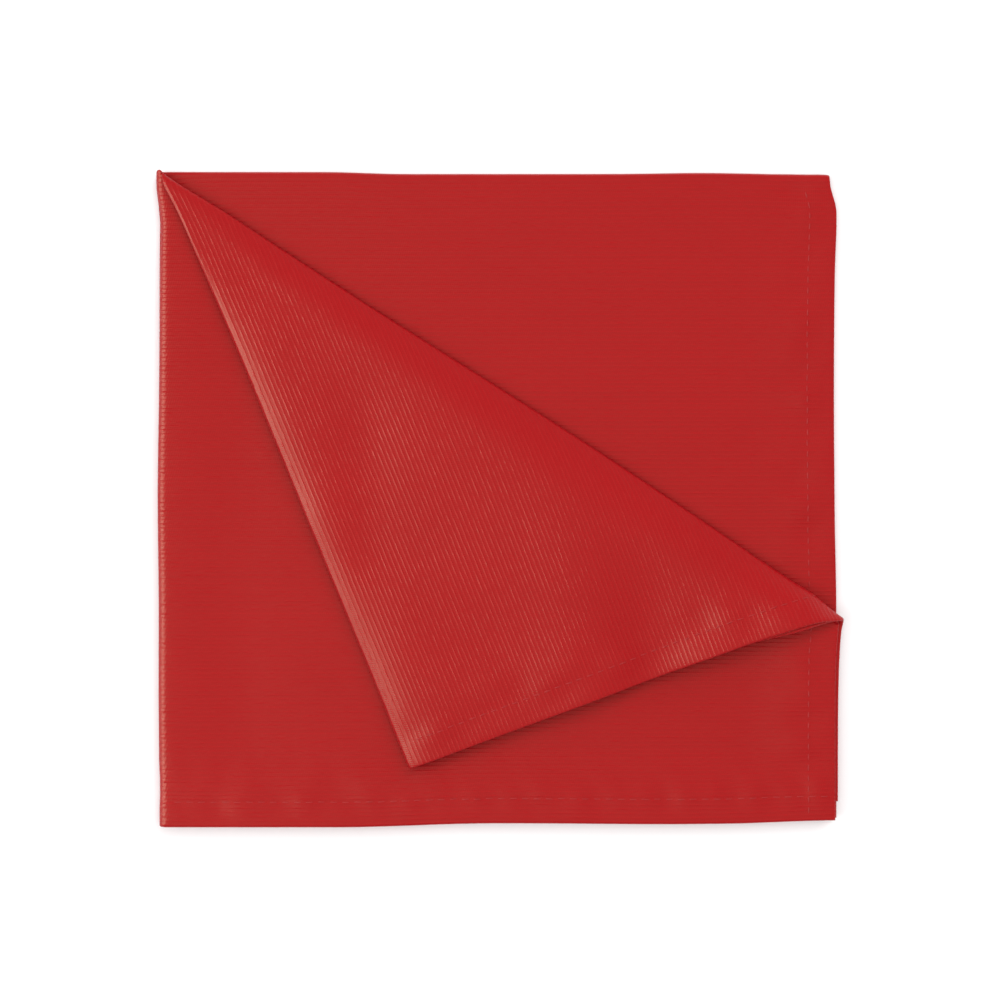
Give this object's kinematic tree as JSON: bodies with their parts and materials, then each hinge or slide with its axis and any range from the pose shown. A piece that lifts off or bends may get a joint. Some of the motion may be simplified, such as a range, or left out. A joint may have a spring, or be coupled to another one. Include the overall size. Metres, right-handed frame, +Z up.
{
  "type": "cloth napkin",
  "caption": "Hemmed cloth table napkin folded into a flat square, with its upper corner turned back along a diagonal in a soft roll.",
  "frame": {"origin": "the middle of the face that the folded napkin lies on", "axes": "+Z up, +X towards the loose side hems, +Y towards the folded top edge"},
  "size_m": [0.2552, 0.2454, 0.0185],
  "materials": {
    "napkin_cloth": "fine ribbed weave, matte red"
  },
  "bodies": {
    "root": {"folded_napkin": "napkin_cloth"}
  },
  "joints": []
}
